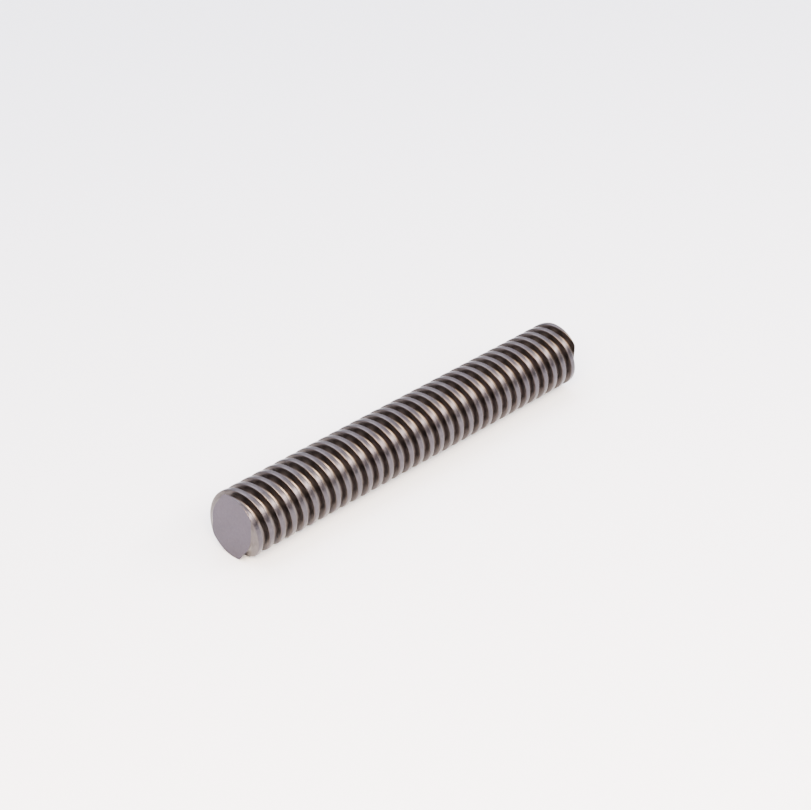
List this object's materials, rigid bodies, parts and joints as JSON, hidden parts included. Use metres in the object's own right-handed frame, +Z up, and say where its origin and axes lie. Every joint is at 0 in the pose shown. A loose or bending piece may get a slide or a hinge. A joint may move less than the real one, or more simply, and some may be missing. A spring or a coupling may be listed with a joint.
{
  "type": "trapezoidal lead screw spindle",
  "caption": "Bare round steel spindle with a rolled right-hand two-start trapezoidal thread along its whole length and plain square-sawn ends.",
  "frame": {"origin": "centre of the cut end's face", "axes": "+X along the screw's axis from the cut end into the bar, +Z up"},
  "size_m": [0.16, 0.024, 0.024],
  "materials": {
    "rolled_steel": "rolled steel, satin crests, darker oiled grooves, matte sawn ends"
  },
  "bodies": {
    "root": {"screw_spindle": "rolled_steel"}
  },
  "joints": []
}
